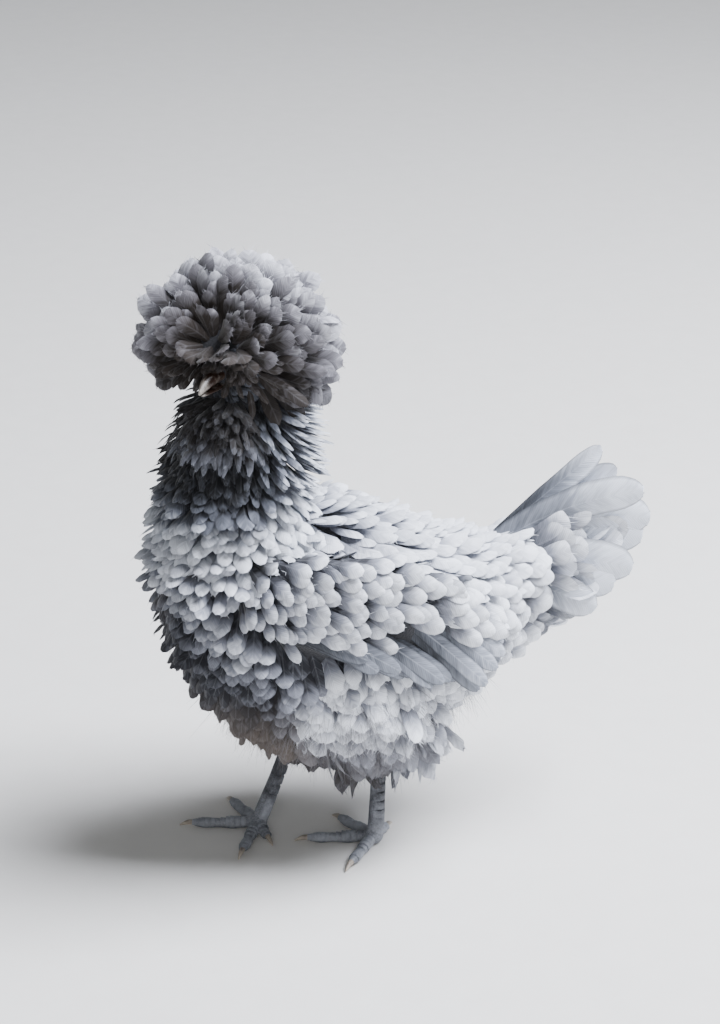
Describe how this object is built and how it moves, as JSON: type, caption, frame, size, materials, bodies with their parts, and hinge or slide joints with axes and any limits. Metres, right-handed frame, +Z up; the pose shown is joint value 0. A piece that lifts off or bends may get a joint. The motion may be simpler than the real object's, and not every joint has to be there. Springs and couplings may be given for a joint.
{
  "type": "frizzle chicken",
  "caption": "Life-size standing crested frizzle hen as a still display model, with curled feathers over the body, a globe crest and a beard.",
  "frame": {"origin": "middle of the bottom of the bounding box, on the floor that the hen stands on", "axes": "+Z up, -Y the way the body faces, +X toward the hen's left side"},
  "size_m": [0.192, 0.3814, 0.447],
  "materials": {
    "body_feathers": "soft curled contour feathers, blue grey with paler tips",
    "dark_feathers": "soft narrow feathers of the neck and beard, slate to near black",
    "crest_feathers": "soft rounded crest feathers, slate, with paler tips",
    "flight_feathers": "smooth flight and tail feathers, matte with a slight sheen",
    "skin": "dark face skin",
    "scales": "slate scaled shanks and toes, dry and matte",
    "horn": "pale horn with dark marks, lightly polished",
    "eye": "wet gloss, orange brown iris"
  },
  "bodies": {
    "root": {"torso": "body_feathers", "neck": "dark_feathers", "head": "skin", "crest": "crest_feathers", "beard": "dark_feathers", "beak_upper": "horn", "beak_lower": "horn", "eye_left": "eye", "eye_right": "eye", "wing_left": "flight_feathers", "wing_right": "flight_feathers", "tail": "flight_feathers", "thigh_left": "body_feathers", "thigh_right": "body_feathers", "shank_left": "scales", "shank_right": "scales", "foot_left": "scales", "foot_right": "scales", "claw_left_inner": "horn", "claw_left_middle": "horn", "claw_left_outer": "horn", "claw_left_back": "horn", "claw_right_inner": "horn", "claw_right_middle": "horn", "claw_right_outer": "horn", "claw_right_back": "horn"}
  },
  "joints": []
}
